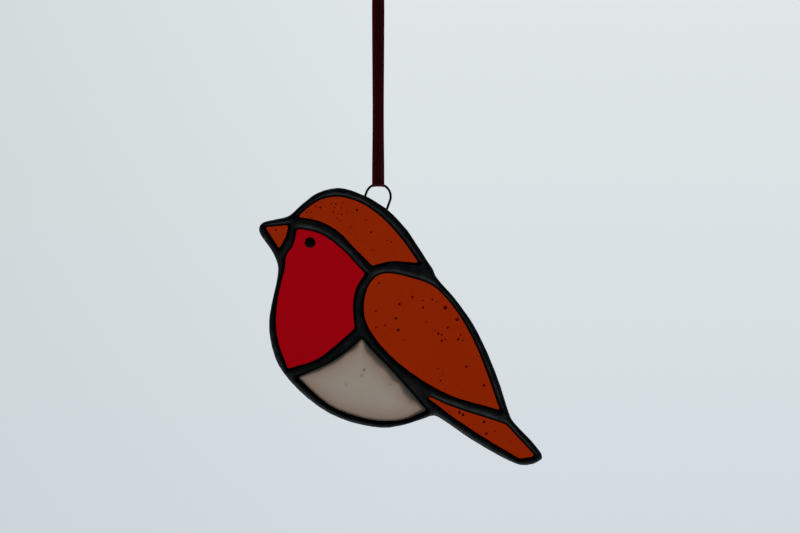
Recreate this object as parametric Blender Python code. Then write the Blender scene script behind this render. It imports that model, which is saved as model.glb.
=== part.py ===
"""A stained-glass robin suncatcher: six panes of glass held in one net of solder lines, hung on a ribbon.

The bird hangs in the XZ plane, with its front to -Y and its beak to -X. The origin is the hang point, where
a hook passes through the ribbon below its knot. The wire loop on the bird's back hangs in the ribbon's fold.
"""

import math

import bmesh
import bpy
from mathutils import Matrix, Vector
from mathutils.geometry import intersect_line_line_2d

MM = 0.001

# Overall sizes, in metres
BIRD_LENGTH = 120.3 * MM  # level, from the tip of the beak to the tip of the tail
HANG_DROP = 85 * MM  # from the hang point down to the top of the wire loop
FIT_GAP = 0.3 * MM  # between pieces that touch on the real object

# Panes and solder lines
GLASS_THICKNESS = 3 * MM
FOIL_OVERLAP = 1.1 * MM  # what a solder line covers of a pane's edge, on each face
BEAD_HEIGHT = 1.1 * MM  # crown of a solder line above the glass
BEAD_SHOULDER = 1.0 * MM  # width over which a solder line rises to its crown
BEAD_STEPS = 2
CORNER_RADIUS = 0.4 * MM  # where two solder lines meet beside a pane
CORNER_STEP = math.radians(40)

# Eye
EYE_DIAMETER = 4.6 * MM
EYE_HEIGHT = 1.0 * MM
EYE_SIDES = 28
EYE_STEPS = 3
EYE_DOME = math.radians(75)  # slope of the dot's side, from its foot to its flat top

# Wire loop: a half circle on two straight feet, leaning towards the tail
WIRE_DIAMETER = 1.0 * MM
LOOP_RADIUS = 5.3 * MM  # to the middle of the wire
LOOP_LEAN = math.radians(20)
LOOP_STEPS = 20
WIRE_BEVEL = 3  # for the sides of the wire
FOOT_DEPTH = 0.8 * MM  # how deep each foot stands in the solder
SOCKET_SIDES = 12

# Ribbon: one strip, folded over the wire and tied in a knot above the hook
RIBBON_WIDTH = 5.2 * MM
RIBBON_THICKNESS = 0.4 * MM
RIBBON_SPANS = 4  # faces across its width
HOOK_SPACE = 4.2 * MM  # between the two runs, where the hook passes
THROAT_SHARE = 0.8  # of that spread, halfway from the hook up to the knot's middle
NECK_SHARE = 0.3  # of that spread, in the knot
RUN_STEPS = 12
FOLD_STEPS = 8
SADDLE_HEIGHT = 9 * MM  # how far up the run the bend of the wire still shows
KNOT_SIZE = (6.8 * MM, 5.6 * MM, 6.2 * MM)
KNOT_RISE = 5.2 * MM  # from the hang point to the knot's middle
KNOT_ROUNDNESS = 2  # subdivisions
TAIL_LENGTH = 15 * MM  # that stands out of the knot
TAIL_LEAN = math.radians(17)  # sideways from the plumb line
TAIL_SPREAD = 0.5  # lean to the front or the back, as a share of the sideways one
TAIL_STEPS = 5

# The pattern, in millimetres as it was drawn: x from the plumb line, z from the top of the wire loop
PATTERN_LENGTH = 120.3
SPLINE_STEPS = 3  # points for each stretch between two points of the pattern

BIRD_OUTLINE = [
    (-50.6, -18.8), (-49.4, -16.7), (-46.0, -15.5), (-38.1, -13.7), (-32.4, -8.7), (-25.6, -3.8),
    (-17.1, -1.7), (-9.0, -3.6), (2.9, -10.1), (12.2, -19.6), (20.7, -32.5), (23.3, -36.3), (24.6, -39.5),
    (32.2, -48.2), (40.3, -59.5), (45.8, -70.5), (51.8, -85.4), (55.4, -96.9), (56.9, -100.4),
    (62.0, -105.9), (67.1, -111.6), (69.7, -115.8), (67.5, -118.4), (61.3, -119.7), (55.6, -117.8),
    (39.0, -108.4), (28.8, -101.3), (23.7, -98.6), (17.8, -100.5), (5.0, -103.7), (-6.9, -102.6),
    (-20.5, -97.8), (-33.2, -88.2), (-42.2, -76.9), (-45.8, -65.5), (-46.1, -55.7), (-43.6, -43.8),
    (-42.5, -35.7), (-43.9, -30.4), (-49.4, -22.1),
]

# The glass that shows in each pane: its sides from corner to corner, all the way round
BEAK_WINDOW = [
    [(-47.8, -18.4), (-43.0, -17.9), (-38.4, -17.6)],
    [(-38.4, -17.6), (-39.1, -21.7), (-42.0, -27.0)],
    [(-42.0, -27.0), (-47.8, -18.4)],
]
CROWN_WINDOW = [
    [(-33.7, -13.9), (-29.8, -10.0), (-24.7, -6.8), (-17.1, -5.4), (-7.7, -7.9), (0.8, -13.6), (9.3, -22.5),
     (17.0, -33.3)],
    [(17.0, -33.3), (5.0, -32.7), (-2.5, -34.6)],
    [(-2.5, -34.6), (-9.9, -27.2), (-17.5, -19.5), (-26.0, -15.3), (-33.7, -13.9)],
]
BREAST_WINDOW = [
    [(-34.4, -19.1), (-26.4, -20.5), (-17.9, -25.5), (-5.8, -37.9)],
    [(-5.8, -37.9), (-9.6, -44.6), (-10.8, -51.9), (-10.0, -61.2)],
    [(-10.0, -61.2), (-18.4, -68.6), (-26.4, -74.5), (-38.2, -78.2)],
    [(-38.2, -78.2), (-42.2, -67.6), (-43.4, -56.9), (-41.5, -43.4), (-39.6, -36.1), (-38.8, -30.0),
     (-36.0, -25.9), (-34.4, -19.1)],
]
BELLY_WINDOW = [
    [(-6.9, -66.3), (-1.4, -72.2), (7.6, -81.6), (19.9, -95.8)],
    [(19.9, -95.8), (12.7, -99.1), (3.3, -100.3), (-7.7, -98.6), (-20.5, -93.6), (-33.5, -82.2)],
    [(-33.5, -82.2), (-20.5, -76.2), (-12.0, -70.5), (-6.9, -66.3)],
]
WING_WINDOW = [
    [(51.6, -95.8), (43.3, -93.5), (30.5, -89.6), (13.5, -79.7), (0.8, -68.0), (-5.2, -58.2), (-6.0, -51.4),
     (-4.5, -44.2), (-0.9, -39.3), (4.2, -37.9), (13.5, -39.7), (22.9, -43.1), (30.5, -50.4), (37.3, -60.4),
     (43.7, -73.9), (51.6, -95.8)],
]
TAIL_WINDOW = [
    [(21.3, -90.5), (34.8, -95.8), (47.5, -99.8), (54.3, -102.2)],
    [(54.3, -102.2), (66.6, -115.5)],
    [(66.6, -115.5), (60.2, -116.6)],
    [(60.2, -116.6), (43.3, -106.5), (30.5, -97.9), (21.3, -90.5)],
]
EYE_PLACE = (-28.9, -24.9)

# Worked out from the sizes above
GLASS_FACE = GLASS_THICKNESS / 2  # from the middle of the bird to a pane's face
SEAT_FACE = GLASS_FACE + FIT_GAP  # to where the solder lies over that face
CROWN_FACE = SEAT_FACE + BEAD_HEIGHT
WIRE_RADIUS = WIRE_DIAMETER / 2
FOLD_RADIUS = WIRE_RADIUS + FIT_GAP + RIBBON_THICKNESS / 2  # to the middle of the ribbon's thickness
LOOP_CENTRE = Vector((0, -LOOP_RADIUS))

# Pane, its window, its colour
AMBER = (0.33, 0.022, 0.001)
RED = (0.39, 0.001, 0.005)
WHITE = (0.62, 0.58, 0.53)
PANES = {
    "beak_glass": (BEAK_WINDOW, AMBER),
    "crown_glass": (CROWN_WINDOW, AMBER),
    "breast_glass": (BREAST_WINDOW, RED),
    "belly_glass": (BELLY_WINDOW, WHITE),
    "wing_glass": (WING_WINDOW, AMBER),
    "tail_glass": (TAIL_WINDOW, AMBER),
}
SOLDER_COLOUR = (0.012, 0.013, 0.015)
EYE_COLOUR = (0.004, 0.004, 0.004)
RIBBON_COLOUR = (0.09, 0.004, 0.012)


def clear_scene():
    """Removes every object of the scene."""
    for thing in list(bpy.data.objects):
        bpy.data.objects.remove(thing)


def material(name, colour, roughness, metallic=0.0, transmission=0.0):
    """A plain surface for one piece."""
    made = bpy.data.materials.new(name)
    made.use_nodes = True
    shader = made.node_tree.nodes["Principled BSDF"]
    shader.inputs["Base Color"].default_value = (*colour, 1)
    shader.inputs["Roughness"].default_value = roughness
    shader.inputs["Metallic"].default_value = metallic
    shader.inputs["Transmission Weight"].default_value = transmission
    return made


def add_object(name, mesh, parent, surface=None):
    """Puts a mesh in the scene under its piece's name."""
    thing = bpy.data.objects.new(name, mesh)
    bpy.context.scene.collection.objects.link(thing)
    thing.parent = parent
    if surface:
        mesh.materials.append(surface)
    return thing


def as_helper(thing):
    """Keeps a shape that only cuts or adds to another out of the model."""
    thing.hide_render = True
    thing.display_type = "WIRE"
    return thing


def combine(thing, helper, operation):
    """Cuts the helper's shape from the piece, or adds it."""
    change = thing.modifiers.new(helper.name, "BOOLEAN")
    change.operation = operation
    change.object = helper


def smooth_curve(points, closed=False, steps=SPLINE_STEPS):
    """A centripetal Catmull-Rom curve through the points. An open one ends on its last point."""
    points = [Vector(point) for point in points]
    if closed:
        points = [points[-1], *points, points[0], points[1]]
    else:
        points = [2 * points[0] - points[1], *points, 2 * points[-1] - points[-2]]
    curve = []
    for p0, p1, p2, p3 in zip(points, points[1:], points[2:], points[3:]):
        t1 = math.sqrt((p1 - p0).length)
        t2 = t1 + math.sqrt((p2 - p1).length)
        t3 = t2 + math.sqrt((p3 - p2).length)
        for step in range(steps):
            t = t1 + (t2 - t1) * step / steps
            a1 = p0.lerp(p1, t / t1)
            a2 = p1.lerp(p2, (t - t1) / (t2 - t1))
            a3 = p2.lerp(p3, (t - t2) / (t3 - t2))
            b1 = a1.lerp(a2, t / t2)
            b2 = a2.lerp(a3, (t - t1) / (t3 - t1))
            curve.append(b1.lerp(b2, (t - t1) / (t2 - t1)))
    return curve if closed else curve + [points[-2]]


def on_bird(points):
    """Points of the drawn pattern at the bird's real size."""
    return [Vector(point) * BIRD_LENGTH / PATTERN_LENGTH for point in points]


def turn_of(points):
    """1 for an outline that runs anticlockwise, -1 for one that runs clockwise."""
    area = sum(a.cross(b) for a, b in zip(points, points[1:] + points[:1]))
    return math.copysign(1, area)


def outward(direction, turn):
    """The normal that points out of the outline, to the side of this direction along it."""
    return Vector((direction.y, -direction.x)).normalized() * turn


def smooth_ring(outline):
    """(point, outward normal) round a closed outline with no sharp corner."""
    points = smooth_curve(on_bird(outline), closed=True)
    turn = turn_of(points)
    before = points[-1:] + points[:-1]
    after = points[1:] + points[:1]
    return [(point, outward(b - a, turn)) for a, point, b in zip(before, points, after)]


def corner_fillet(corner, arriving, leaving, turn):
    """The length that a fillet takes from each side of a corner, and its (point, normal) pairs."""
    first = outward(arriving, turn)
    bend = arriving.angle_signed(leaving, 0)
    reach = CORNER_RADIUS * math.tan(abs(bend) / 2)
    centre = corner - arriving.normalized() * reach - first * CORNER_RADIUS
    count = max(1, math.ceil(abs(bend) / CORNER_STEP))
    normals = [Matrix.Rotation(-bend * step / count, 2) @ first for step in range(count + 1)]
    return reach, [(centre + normal * CORNER_RADIUS, normal) for normal in normals]


def window_ring(sides):
    """(point, outward normal) round a pane's window, with its corners rounded."""
    curves = [smooth_curve(on_bird(side)) for side in sides]
    turn = turn_of([point for curve in curves for point in curve[:-1]])
    fillets = []
    for before, curve in zip(curves[-1:] + curves[:-1], curves):
        fillets.append(corner_fillet(curve[0], before[-1] - before[-2], curve[1] - curve[0], turn))
    ring = []
    for curve, (start, fillet), (end, _) in zip(curves, fillets, fillets[1:] + fillets[:1]):
        ring += fillet
        for a, point, b in zip(curve, curve[1:], curve[2:]):
            clear_of_start = (point - curve[0]).length > start + CORNER_RADIUS
            clear_of_end = (point - curve[-1]).length > end + CORNER_RADIUS
            if clear_of_start and clear_of_end:
                ring.append((point, outward(b - a, turn)))
    return ring


def stack(name, ring, levels):
    """A closed solid from copies of one ring. Each level is (offset from the ring, place along Y)."""
    body = bmesh.new()
    rows = []
    for offset, y in levels:
        points = [point + normal * offset for point, normal in ring]
        rows.append([body.verts.new((point.x, y, point.y)) for point in points])
    for low, high in zip(rows, rows[1:]):
        for i, corner in enumerate(low):
            body.faces.new((low[i - 1], corner, high[i], high[i - 1]))
    body.faces.new(rows[0])
    body.faces.new(rows[-1])
    bmesh.ops.recalc_face_normals(body, faces=body.faces)
    mesh = bpy.data.meshes.new(name)
    body.to_mesh(mesh)
    body.free()
    return mesh


def bead_levels(inwards):
    """The levels up a solder line's front shoulder, from the glass to its crown."""
    levels = []
    for step in range(BEAD_STEPS + 1):
        angle = math.pi / 2 * step / BEAD_STEPS
        offset = inwards * BEAD_SHOULDER * (1 - math.cos(angle))
        levels.append((offset, -SEAT_FACE - BEAD_HEIGHT * math.sin(angle)))
    return levels


def both_faces(front):
    """The levels of the front face, then the same ones mirrored for the back, in order from front to back."""
    return front[::-1] + [(offset, -y) for offset, y in front]


def window_cutter(name, ring, bird):
    """What one pane takes out of the solder: its window on both faces, and the channel for its edge."""
    past_crown = (BEAD_SHOULDER, -CROWN_FACE - BEAD_HEIGHT)
    channel = (FOIL_OVERLAP + FIT_GAP, -SEAT_FACE)
    levels = both_faces([channel] + bead_levels(1) + [past_crown])
    return as_helper(add_object(name, stack(name, ring, levels), bird))


def leg_of_loop(start, outline):
    """Where a foot of the wire loop, straight down its lean from start, meets the bird's edge."""
    down = Matrix.Rotation(-LOOP_LEAN, 2) @ Vector((0, -1))
    far = start + down * BIRD_LENGTH
    crossings = []
    for a, b in zip(outline, outline[1:] + outline[:1]):
        crossing = intersect_line_line_2d(start, far, a, b)
        if crossing:
            crossings.append(Vector(crossing))
    return down, min(crossings, key=lambda crossing: (crossing - start).length)


def loop_arc():
    """The half circle of the wire loop, from the foot towards the beak to the foot towards the tail."""
    angles = [math.pi - LOOP_LEAN - math.pi * step / LOOP_STEPS for step in range(LOOP_STEPS + 1)]
    return [LOOP_CENTRE + LOOP_RADIUS * Vector((math.cos(angle), math.sin(angle))) for angle in angles]


def make_hanging_loop(outline, bird):
    """The bent wire, and the (edge point, direction) of each of its feet."""
    arc = loop_arc()
    feet = [leg_of_loop(end, outline) for end in (arc[0], arc[-1])]
    tips = [edge + down * FOOT_DEPTH for down, edge in feet]
    line = bpy.data.curves.new("hanging_loop", "CURVE")
    line.dimensions = "3D"
    line.bevel_depth = WIRE_RADIUS
    line.bevel_resolution = WIRE_BEVEL
    line.use_fill_caps = True
    spline = line.splines.new("POLY")
    points = [tips[0], *arc, tips[1]]
    spline.points.add(len(points) - 1)
    for slot, point in zip(spline.points, points):
        slot.co = (point.x, 0, point.y, 1)
    add_object("hanging_loop", line, bird, material("patinated_wire", SOLDER_COLOUR, 0.4, 1.0))
    return feet


def socket_cutter(name, foot, bird):
    """The hole that a foot of the wire stands in."""
    down, edge = foot
    depth = FOOT_DEPTH + FIT_GAP
    outside = 2 * WIRE_DIAMETER
    middle = edge + down * (depth - outside) / 2
    body = bmesh.new()
    radius = WIRE_RADIUS + FIT_GAP
    bmesh.ops.create_cone(
        body, cap_ends=True, segments=SOCKET_SIDES, radius1=radius, radius2=radius, depth=depth + outside
    )
    mesh = bpy.data.meshes.new(name)
    body.to_mesh(mesh)
    body.free()
    helper = as_helper(add_object(name, mesh, bird))
    helper.location = (middle.x, 0, middle.y)
    helper.rotation_euler = Vector((down.x, 0, down.y)).to_track_quat("Z", "Y").to_euler()
    return helper


def make_solder(rings, outline_ring, feet, bird):
    """The net of solder lines, with a window for each pane and a socket for each foot of the wire."""
    rim = both_faces(bead_levels(-1))
    surface = material("black_patina_solder", SOLDER_COLOUR, 0.42, 0.9)
    net = add_object("solder_lines", stack("solder_lines", outline_ring, rim), bird, surface)
    for name, ring in rings.items():
        combine(net, window_cutter(name + "_cutter", ring, bird), "DIFFERENCE")
    for name, foot in zip(("beak_side_socket", "tail_side_socket"), feet):
        combine(net, socket_cutter(name, foot, bird), "DIFFERENCE")
    return net


def make_panes(rings, bird):
    """The six panes, each with its edge in the solder all round."""
    levels = [(FOIL_OVERLAP, -GLASS_FACE), (FOIL_OVERLAP, GLASS_FACE)]
    for name, ring in rings.items():
        surface = material(name, PANES[name][1], 0.05, transmission=1.0)
        add_object(name, stack(name, ring, levels), bird, surface)


def make_eye(bird):
    """The raised black dot on the front of the breast glass."""
    middle = on_bird([EYE_PLACE])[0]
    ring = []
    for side in range(EYE_SIDES):
        angle = math.tau * side / EYE_SIDES
        normal = Vector((math.cos(angle), math.sin(angle)))
        ring.append((middle + normal * EYE_DIAMETER / 2, normal))
    levels = [(0, -SEAT_FACE)]
    for step in range(1, EYE_STEPS + 1):
        angle = EYE_DOME * step / EYE_STEPS
        levels.append((-EYE_DIAMETER / 2 * (1 - math.cos(angle)), -SEAT_FACE - EYE_HEIGHT * math.sin(angle)))
    add_object("eye_dot", stack("eye_dot", ring, levels), bird, material("black_dot", EYE_COLOUR, 0.2))


def strip(name, middles, across, thickness_normals, drop_at):
    """A closed flat band along its middle line. drop_at lowers a point of it by its place across the band."""
    body = bmesh.new()
    rows = []
    for middle, side, normal in zip(middles, across, thickness_normals):
        row = []
        for face in (-1, 1):
            places = [RIBBON_WIDTH * (span / RIBBON_SPANS - 0.5) for span in range(RIBBON_SPANS + 1)]
            for place in places[:: -face]:
                point = middle + side * place + normal * face * RIBBON_THICKNESS / 2
                point.z -= drop_at(place, middle)
                row.append(body.verts.new(point))
        rows.append(row)
    for low, high in zip(rows, rows[1:]):
        for i, corner in enumerate(low):
            body.faces.new((low[i - 1], corner, high[i], high[i - 1]))
    body.faces.new(rows[0])
    body.faces.new(rows[-1])
    bmesh.ops.recalc_face_normals(body, faces=body.faces)
    mesh = bpy.data.meshes.new(name)
    body.to_mesh(mesh)
    body.free()
    return mesh


def wire_drop(place, middle):
    """How far the bend of the wire lets a point of the fold down, fading out above it."""
    height = middle.z + HANG_DROP
    share = max(0, 1 - max(0, height) / SADDLE_HEIGHT) ** 2
    return share * (LOOP_RADIUS - math.sqrt(LOOP_RADIUS**2 - place**2))


def ribbon_middle():
    """The middle line of the two runs: from the knot down the front, under the wire and up the back."""
    fold = Vector((0, 0, -HANG_DROP))
    hook = HOOK_SPACE / 2 + RIBBON_THICKNESS / 2
    at_hook = Vector((0, -hook, 0))
    at_wire = fold + Vector((0, -FOLD_RADIUS, 0))
    front = [Vector((0, -NECK_SHARE * hook, KNOT_RISE)), Vector((0, -THROAT_SHARE * hook, KNOT_RISE / 2))]
    front += [at_hook.lerp(at_wire, step / RUN_STEPS) for step in range(RUN_STEPS)]
    under = []
    for step in range(FOLD_STEPS + 1):
        angle = math.pi * (1 + step / FOLD_STEPS)
        under.append(fold + FOLD_RADIUS * Vector((0, math.cos(angle), math.sin(angle))))
    back = [Vector((0, -point.y, point.z)) for point in front[::-1]]
    return front + under + back


def plane_normals(middles):
    """For a line that stays in one plane along Y and Z, the normal of the band at each of its points."""
    normals = []
    for before, after in zip(middles[:1] + middles[:-1], middles[1:] + middles[-1:]):
        along = (after - before).normalized()
        normals.append(Vector((0, -along.z, along.y)))
    return normals


def make_knot(ribbon, hang_point):
    """The lump of the knot, added to the ribbon."""
    body = bmesh.new()
    bmesh.ops.create_icosphere(body, subdivisions=KNOT_ROUNDNESS, radius=0.5)
    bmesh.ops.scale(body, vec=KNOT_SIZE, verts=body.verts)
    knot_mesh = bpy.data.meshes.new("knot_form")
    body.to_mesh(knot_mesh)
    body.free()
    knot = as_helper(add_object("knot_form", knot_mesh, hang_point))
    knot.location = (0, 0, KNOT_RISE)
    combine(ribbon, knot, "UNION")


def make_tails(ribbon, hang_point):
    """The two cut ends above the knot, added to the ribbon."""
    lean = math.sin(TAIL_LEAN)
    reach = KNOT_SIZE[2] / 2 + TAIL_LENGTH
    for name, side in (("front_tail_form", -1), ("back_tail_form", 1)):
        up = Vector((lean * side, lean * side * TAIL_SPREAD, math.cos(TAIL_LEAN))).normalized()
        over = Vector((up.z, 0, -up.x)).normalized()
        start = Vector((0, side * RIBBON_THICKNESS, KNOT_RISE))
        line = [start + up * reach * step / TAIL_STEPS for step in range(TAIL_STEPS + 1)]
        normals = [up.cross(over)] * len(line)
        tail_mesh = strip(name, line, [over] * len(line), normals, lambda place, middle: 0)
        combine(ribbon, as_helper(add_object(name, tail_mesh, hang_point)), "UNION")


def make_ribbon(hang_point):
    """The folded strip with its knot and its two cut ends."""
    middles = ribbon_middle()
    across = [Vector((1, 0, 0))] * len(middles)
    mesh = strip("ribbon", middles, across, plane_normals(middles), wire_drop)
    ribbon = add_object("ribbon", mesh, hang_point, material("burgundy_satin", RIBBON_COLOUR, 0.55))
    make_knot(ribbon, hang_point)
    make_tails(ribbon, hang_point)


def main():
    """Builds the suncatcher under its hang point."""
    clear_scene()
    hang_point = bpy.data.objects.new("hang_point", None)
    bird = bpy.data.objects.new("bird", None)
    for empty in (hang_point, bird):
        bpy.context.scene.collection.objects.link(empty)
    bird.parent = hang_point
    bird.location = (0, 0, -HANG_DROP)

    outline_ring = smooth_ring(BIRD_OUTLINE)
    rings = {name: window_ring(window) for name, (window, _) in PANES.items()}
    feet = make_hanging_loop([point for point, _ in outline_ring], bird)
    make_solder(rings, outline_ring, feet, bird)
    make_panes(rings, bird)
    make_eye(bird)
    make_ribbon(hang_point)


main()
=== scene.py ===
"""The finished look of a stained-glass robin suncatcher, modelled around its CAD frame.

All sizes are in metres, in the frame of the CAD model. The bird hangs in the XZ plane, with its front to -Y and
its beak to -X. The origin is the point that its ribbon hangs from.
"""

import logging
import math
from collections import Counter, defaultdict
from collections.abc import Iterable
from dataclasses import dataclass, field

import bpy
import numpy as np
from mathutils import Matrix, Vector, kdtree, noise


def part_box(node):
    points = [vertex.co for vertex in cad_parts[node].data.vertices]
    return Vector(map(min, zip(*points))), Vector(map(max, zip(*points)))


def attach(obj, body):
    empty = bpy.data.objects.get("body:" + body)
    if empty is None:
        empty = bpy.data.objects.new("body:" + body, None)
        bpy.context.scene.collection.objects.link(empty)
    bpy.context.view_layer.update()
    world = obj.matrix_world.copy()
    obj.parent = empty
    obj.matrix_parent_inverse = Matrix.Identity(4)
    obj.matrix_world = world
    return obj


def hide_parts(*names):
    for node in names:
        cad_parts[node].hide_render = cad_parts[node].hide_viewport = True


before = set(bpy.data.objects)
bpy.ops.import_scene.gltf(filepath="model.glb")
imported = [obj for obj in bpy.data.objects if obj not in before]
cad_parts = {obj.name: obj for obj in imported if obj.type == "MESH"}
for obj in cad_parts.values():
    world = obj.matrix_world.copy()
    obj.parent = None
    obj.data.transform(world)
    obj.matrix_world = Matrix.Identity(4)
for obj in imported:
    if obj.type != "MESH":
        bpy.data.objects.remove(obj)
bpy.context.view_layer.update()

LOG = logging.getLogger("suncatcher")
MM = 0.001
BODY = "root"
LOOP_TOP = -85 * MM  # the middle of the wire at the top of its loop
GLASS_NODES = ("beak_glass", "crown_glass", "breast_glass", "belly_glass", "wing_glass", "tail_glass")
GLASS_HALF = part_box("wing_glass")[1].y
TAIL_TIP = np.array((23.6 * MM, 0, LOOP_TOP - 92 * MM))  # where flowing solder would leave the tip of the tail glass
TIP_MOVE = np.array((-2.1 * MM, 0, 1.3 * MM))  # from there to where it really is
TIP_REACH = 2.2 * MM  # how far from the tip the pieces are drawn along

Colour = tuple[float, float, float, float]
Point2 = tuple[float, float]


def linear(hex_colour: str) -> Colour:
    """Turns an sRGB hex colour into linear light.

    Args:
        hex_colour: The colour, such as "#A1B2C3".

    Returns:
        Red, green and blue in linear light, and a full alpha.
    """
    channels = [int(hex_colour[i : i + 2], 16) / 255 for i in (1, 3, 5)]
    light = [c / 12.92 if c <= 0.04045 else ((c + 0.055) / 1.055) ** 2.4 for c in channels]
    return (*light, 1.0)


def per(size: float) -> float:
    """The scale that gives a texture features of that size in metres."""
    return 1 / size


def add_node(
    tree: bpy.types.NodeTree,
    kind: str,
    settings: dict[str | int, object] | None = None,
    links: dict[str | int, bpy.types.NodeSocket] | None = None,
) -> bpy.types.Node:
    """Adds a node with its settings and its links.

    Args:
        tree: The tree that gets the node.
        kind: The type of node after "ShaderNode", such as "TexNoise".
        settings: Values by the name or number of an input, or by the name of a property. A colour is in hex.
        links: The outputs that feed the node, by the name or number of the input.

    Returns:
        The new node.
    """
    node = tree.nodes.new("ShaderNode" + kind)
    for name, value in (settings or {}).items():
        if isinstance(value, str) and value.startswith("#"):
            value = linear(value)
        if isinstance(name, int) or name in node.inputs:
            node.inputs[name].default_value = value
        else:
            setattr(node, name, value)
    for name, source in (links or {}).items():
        tree.links.new(source, node.inputs[name])
    return node


def new_material(
    name: str, settings: dict[str | int, object]
) -> tuple[bpy.types.Material, bpy.types.NodeTree, bpy.types.Node]:
    """Starts a material with a Principled shader.

    Args:
        name: The material's name.
        settings: The shader's plain values.

    Returns:
        The material, its tree and its shader.
    """
    material = bpy.data.materials.new(name)
    material.use_nodes = True
    tree = material.node_tree
    tree.nodes.clear()
    shader = add_node(tree, "BsdfPrincipled", settings)
    add_node(tree, "OutputMaterial", links={"Surface": shader.outputs["BSDF"]})
    return material, tree, shader


@dataclass(frozen=True)
class CathedralGlass:
    """Rolled cathedral glass, coloured all through. It is clear and glossy, with a faint roll and soft streaks.

    Attributes:
        name: The material's name.
        light: The colour that white light has once it is through the pane.
        streak: The same in its slightly deeper streaks.
        ripple: How far apart the ripples of the rolled face are.
    """

    name: str
    light: str
    streak: str
    ripple: float = 3.5 * MM

    def make(self) -> bpy.types.Material:
        """Builds the material and returns it."""
        glassy = {"Transmission Weight": 1.0, "IOR": 1.52, "Roughness": 0.015}
        material, tree, shader = new_material(self.name, glassy)
        place = add_node(tree, "TexCoord").outputs["Object"]
        drawn = add_node(tree, "Mapping", {"Scale": (1.0, 1.0, 0.35)}, {"Vector": place})
        streaks = add_node(
            tree, "TexNoise", {"Scale": per(16 * MM), "Detail": 2.0}, {"Vector": drawn.outputs[0]}
        )
        tint = add_node(
            tree, "MixRGB", {"Color1": self.light, "Color2": self.streak}, {"Fac": streaks.outputs[0]}
        )
        ripples = add_node(tree, "TexNoise", {"Scale": per(self.ripple), "Detail": 1.0}, {"Vector": place})
        bump = add_node(
            tree, "Bump", {"Strength": 0.25, "Distance": 0.02 * MM}, {"Height": ripples.outputs[0]}
        )
        tree.links.new(tint.outputs[0], shader.inputs["Base Color"])
        tree.links.new(bump.outputs[0], shader.inputs["Normal"])
        return material


@dataclass(frozen=True)
class OpalGlass:
    """White opalescent glass: fine crystals scatter the light, so it glows milky and shows nothing behind it.

    Its colour has a painted shadow of the solder: towards the borders of the pane it is darker and warmer,
    as if less and warmer light came through.

    Attributes:
        name: The material's name.
        milk: The colour of the light that comes through most of it.
        wisp: The same where a thinner wisp lets more through.
        shadow: Stops of the painted shadow's ramp, from no light to full light, each with its share of the light and
            its colour.
    """

    name: str
    milk: str
    wisp: str
    shadow: tuple[tuple[float, str], ...]

    def make(self) -> bpy.types.Material:
        """Builds the material and returns it."""
        milky = {"Transmission Weight": 1.0, "IOR": 1.5, "Roughness": 0.55}
        material, tree, shader = new_material(self.name, milky)
        place = add_node(tree, "TexCoord").outputs["Object"]
        wisps = add_node(
            tree,
            "TexNoise",
            {"Scale": per(14 * MM), "Detail": 3.0, "Distortion": 0.8},
            {"Vector": place},
        )
        milk = add_node(tree, "MixRGB", {"Color1": self.milk, "Color2": self.wisp}, {"Fac": wisps.outputs[0]})
        # Painted shadow: a ramp on the marked share of light darkens and warms the colour near the pane's borders.
        lit = add_node(tree, "Attribute", {"attribute_name": "lit"})
        shadow = add_node(tree, "ValToRGB", links={"Fac": lit.outputs["Fac"]})
        stops = shadow.color_ramp.elements
        stops.remove(stops[1])
        for share, colour in self.shadow:
            stops.new(share).color = linear(colour)
        tint = add_node(
            tree,
            "MixRGB",
            {"blend_type": "MULTIPLY", "Fac": 1.0},
            {"Color1": milk.outputs[0], "Color2": shadow.outputs[0]},
        )
        grain = add_node(tree, "TexNoise", {"Scale": per(1.2 * MM), "Detail": 2.0}, {"Vector": place})
        bump = add_node(
            tree, "Bump", {"Strength": 0.2, "Distance": 0.02 * MM}, {"Height": grain.outputs[0]}
        )
        tree.links.new(tint.outputs[0], shader.inputs["Base Color"])
        tree.links.new(bump.outputs[0], shader.inputs["Normal"])
        return material


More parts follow.
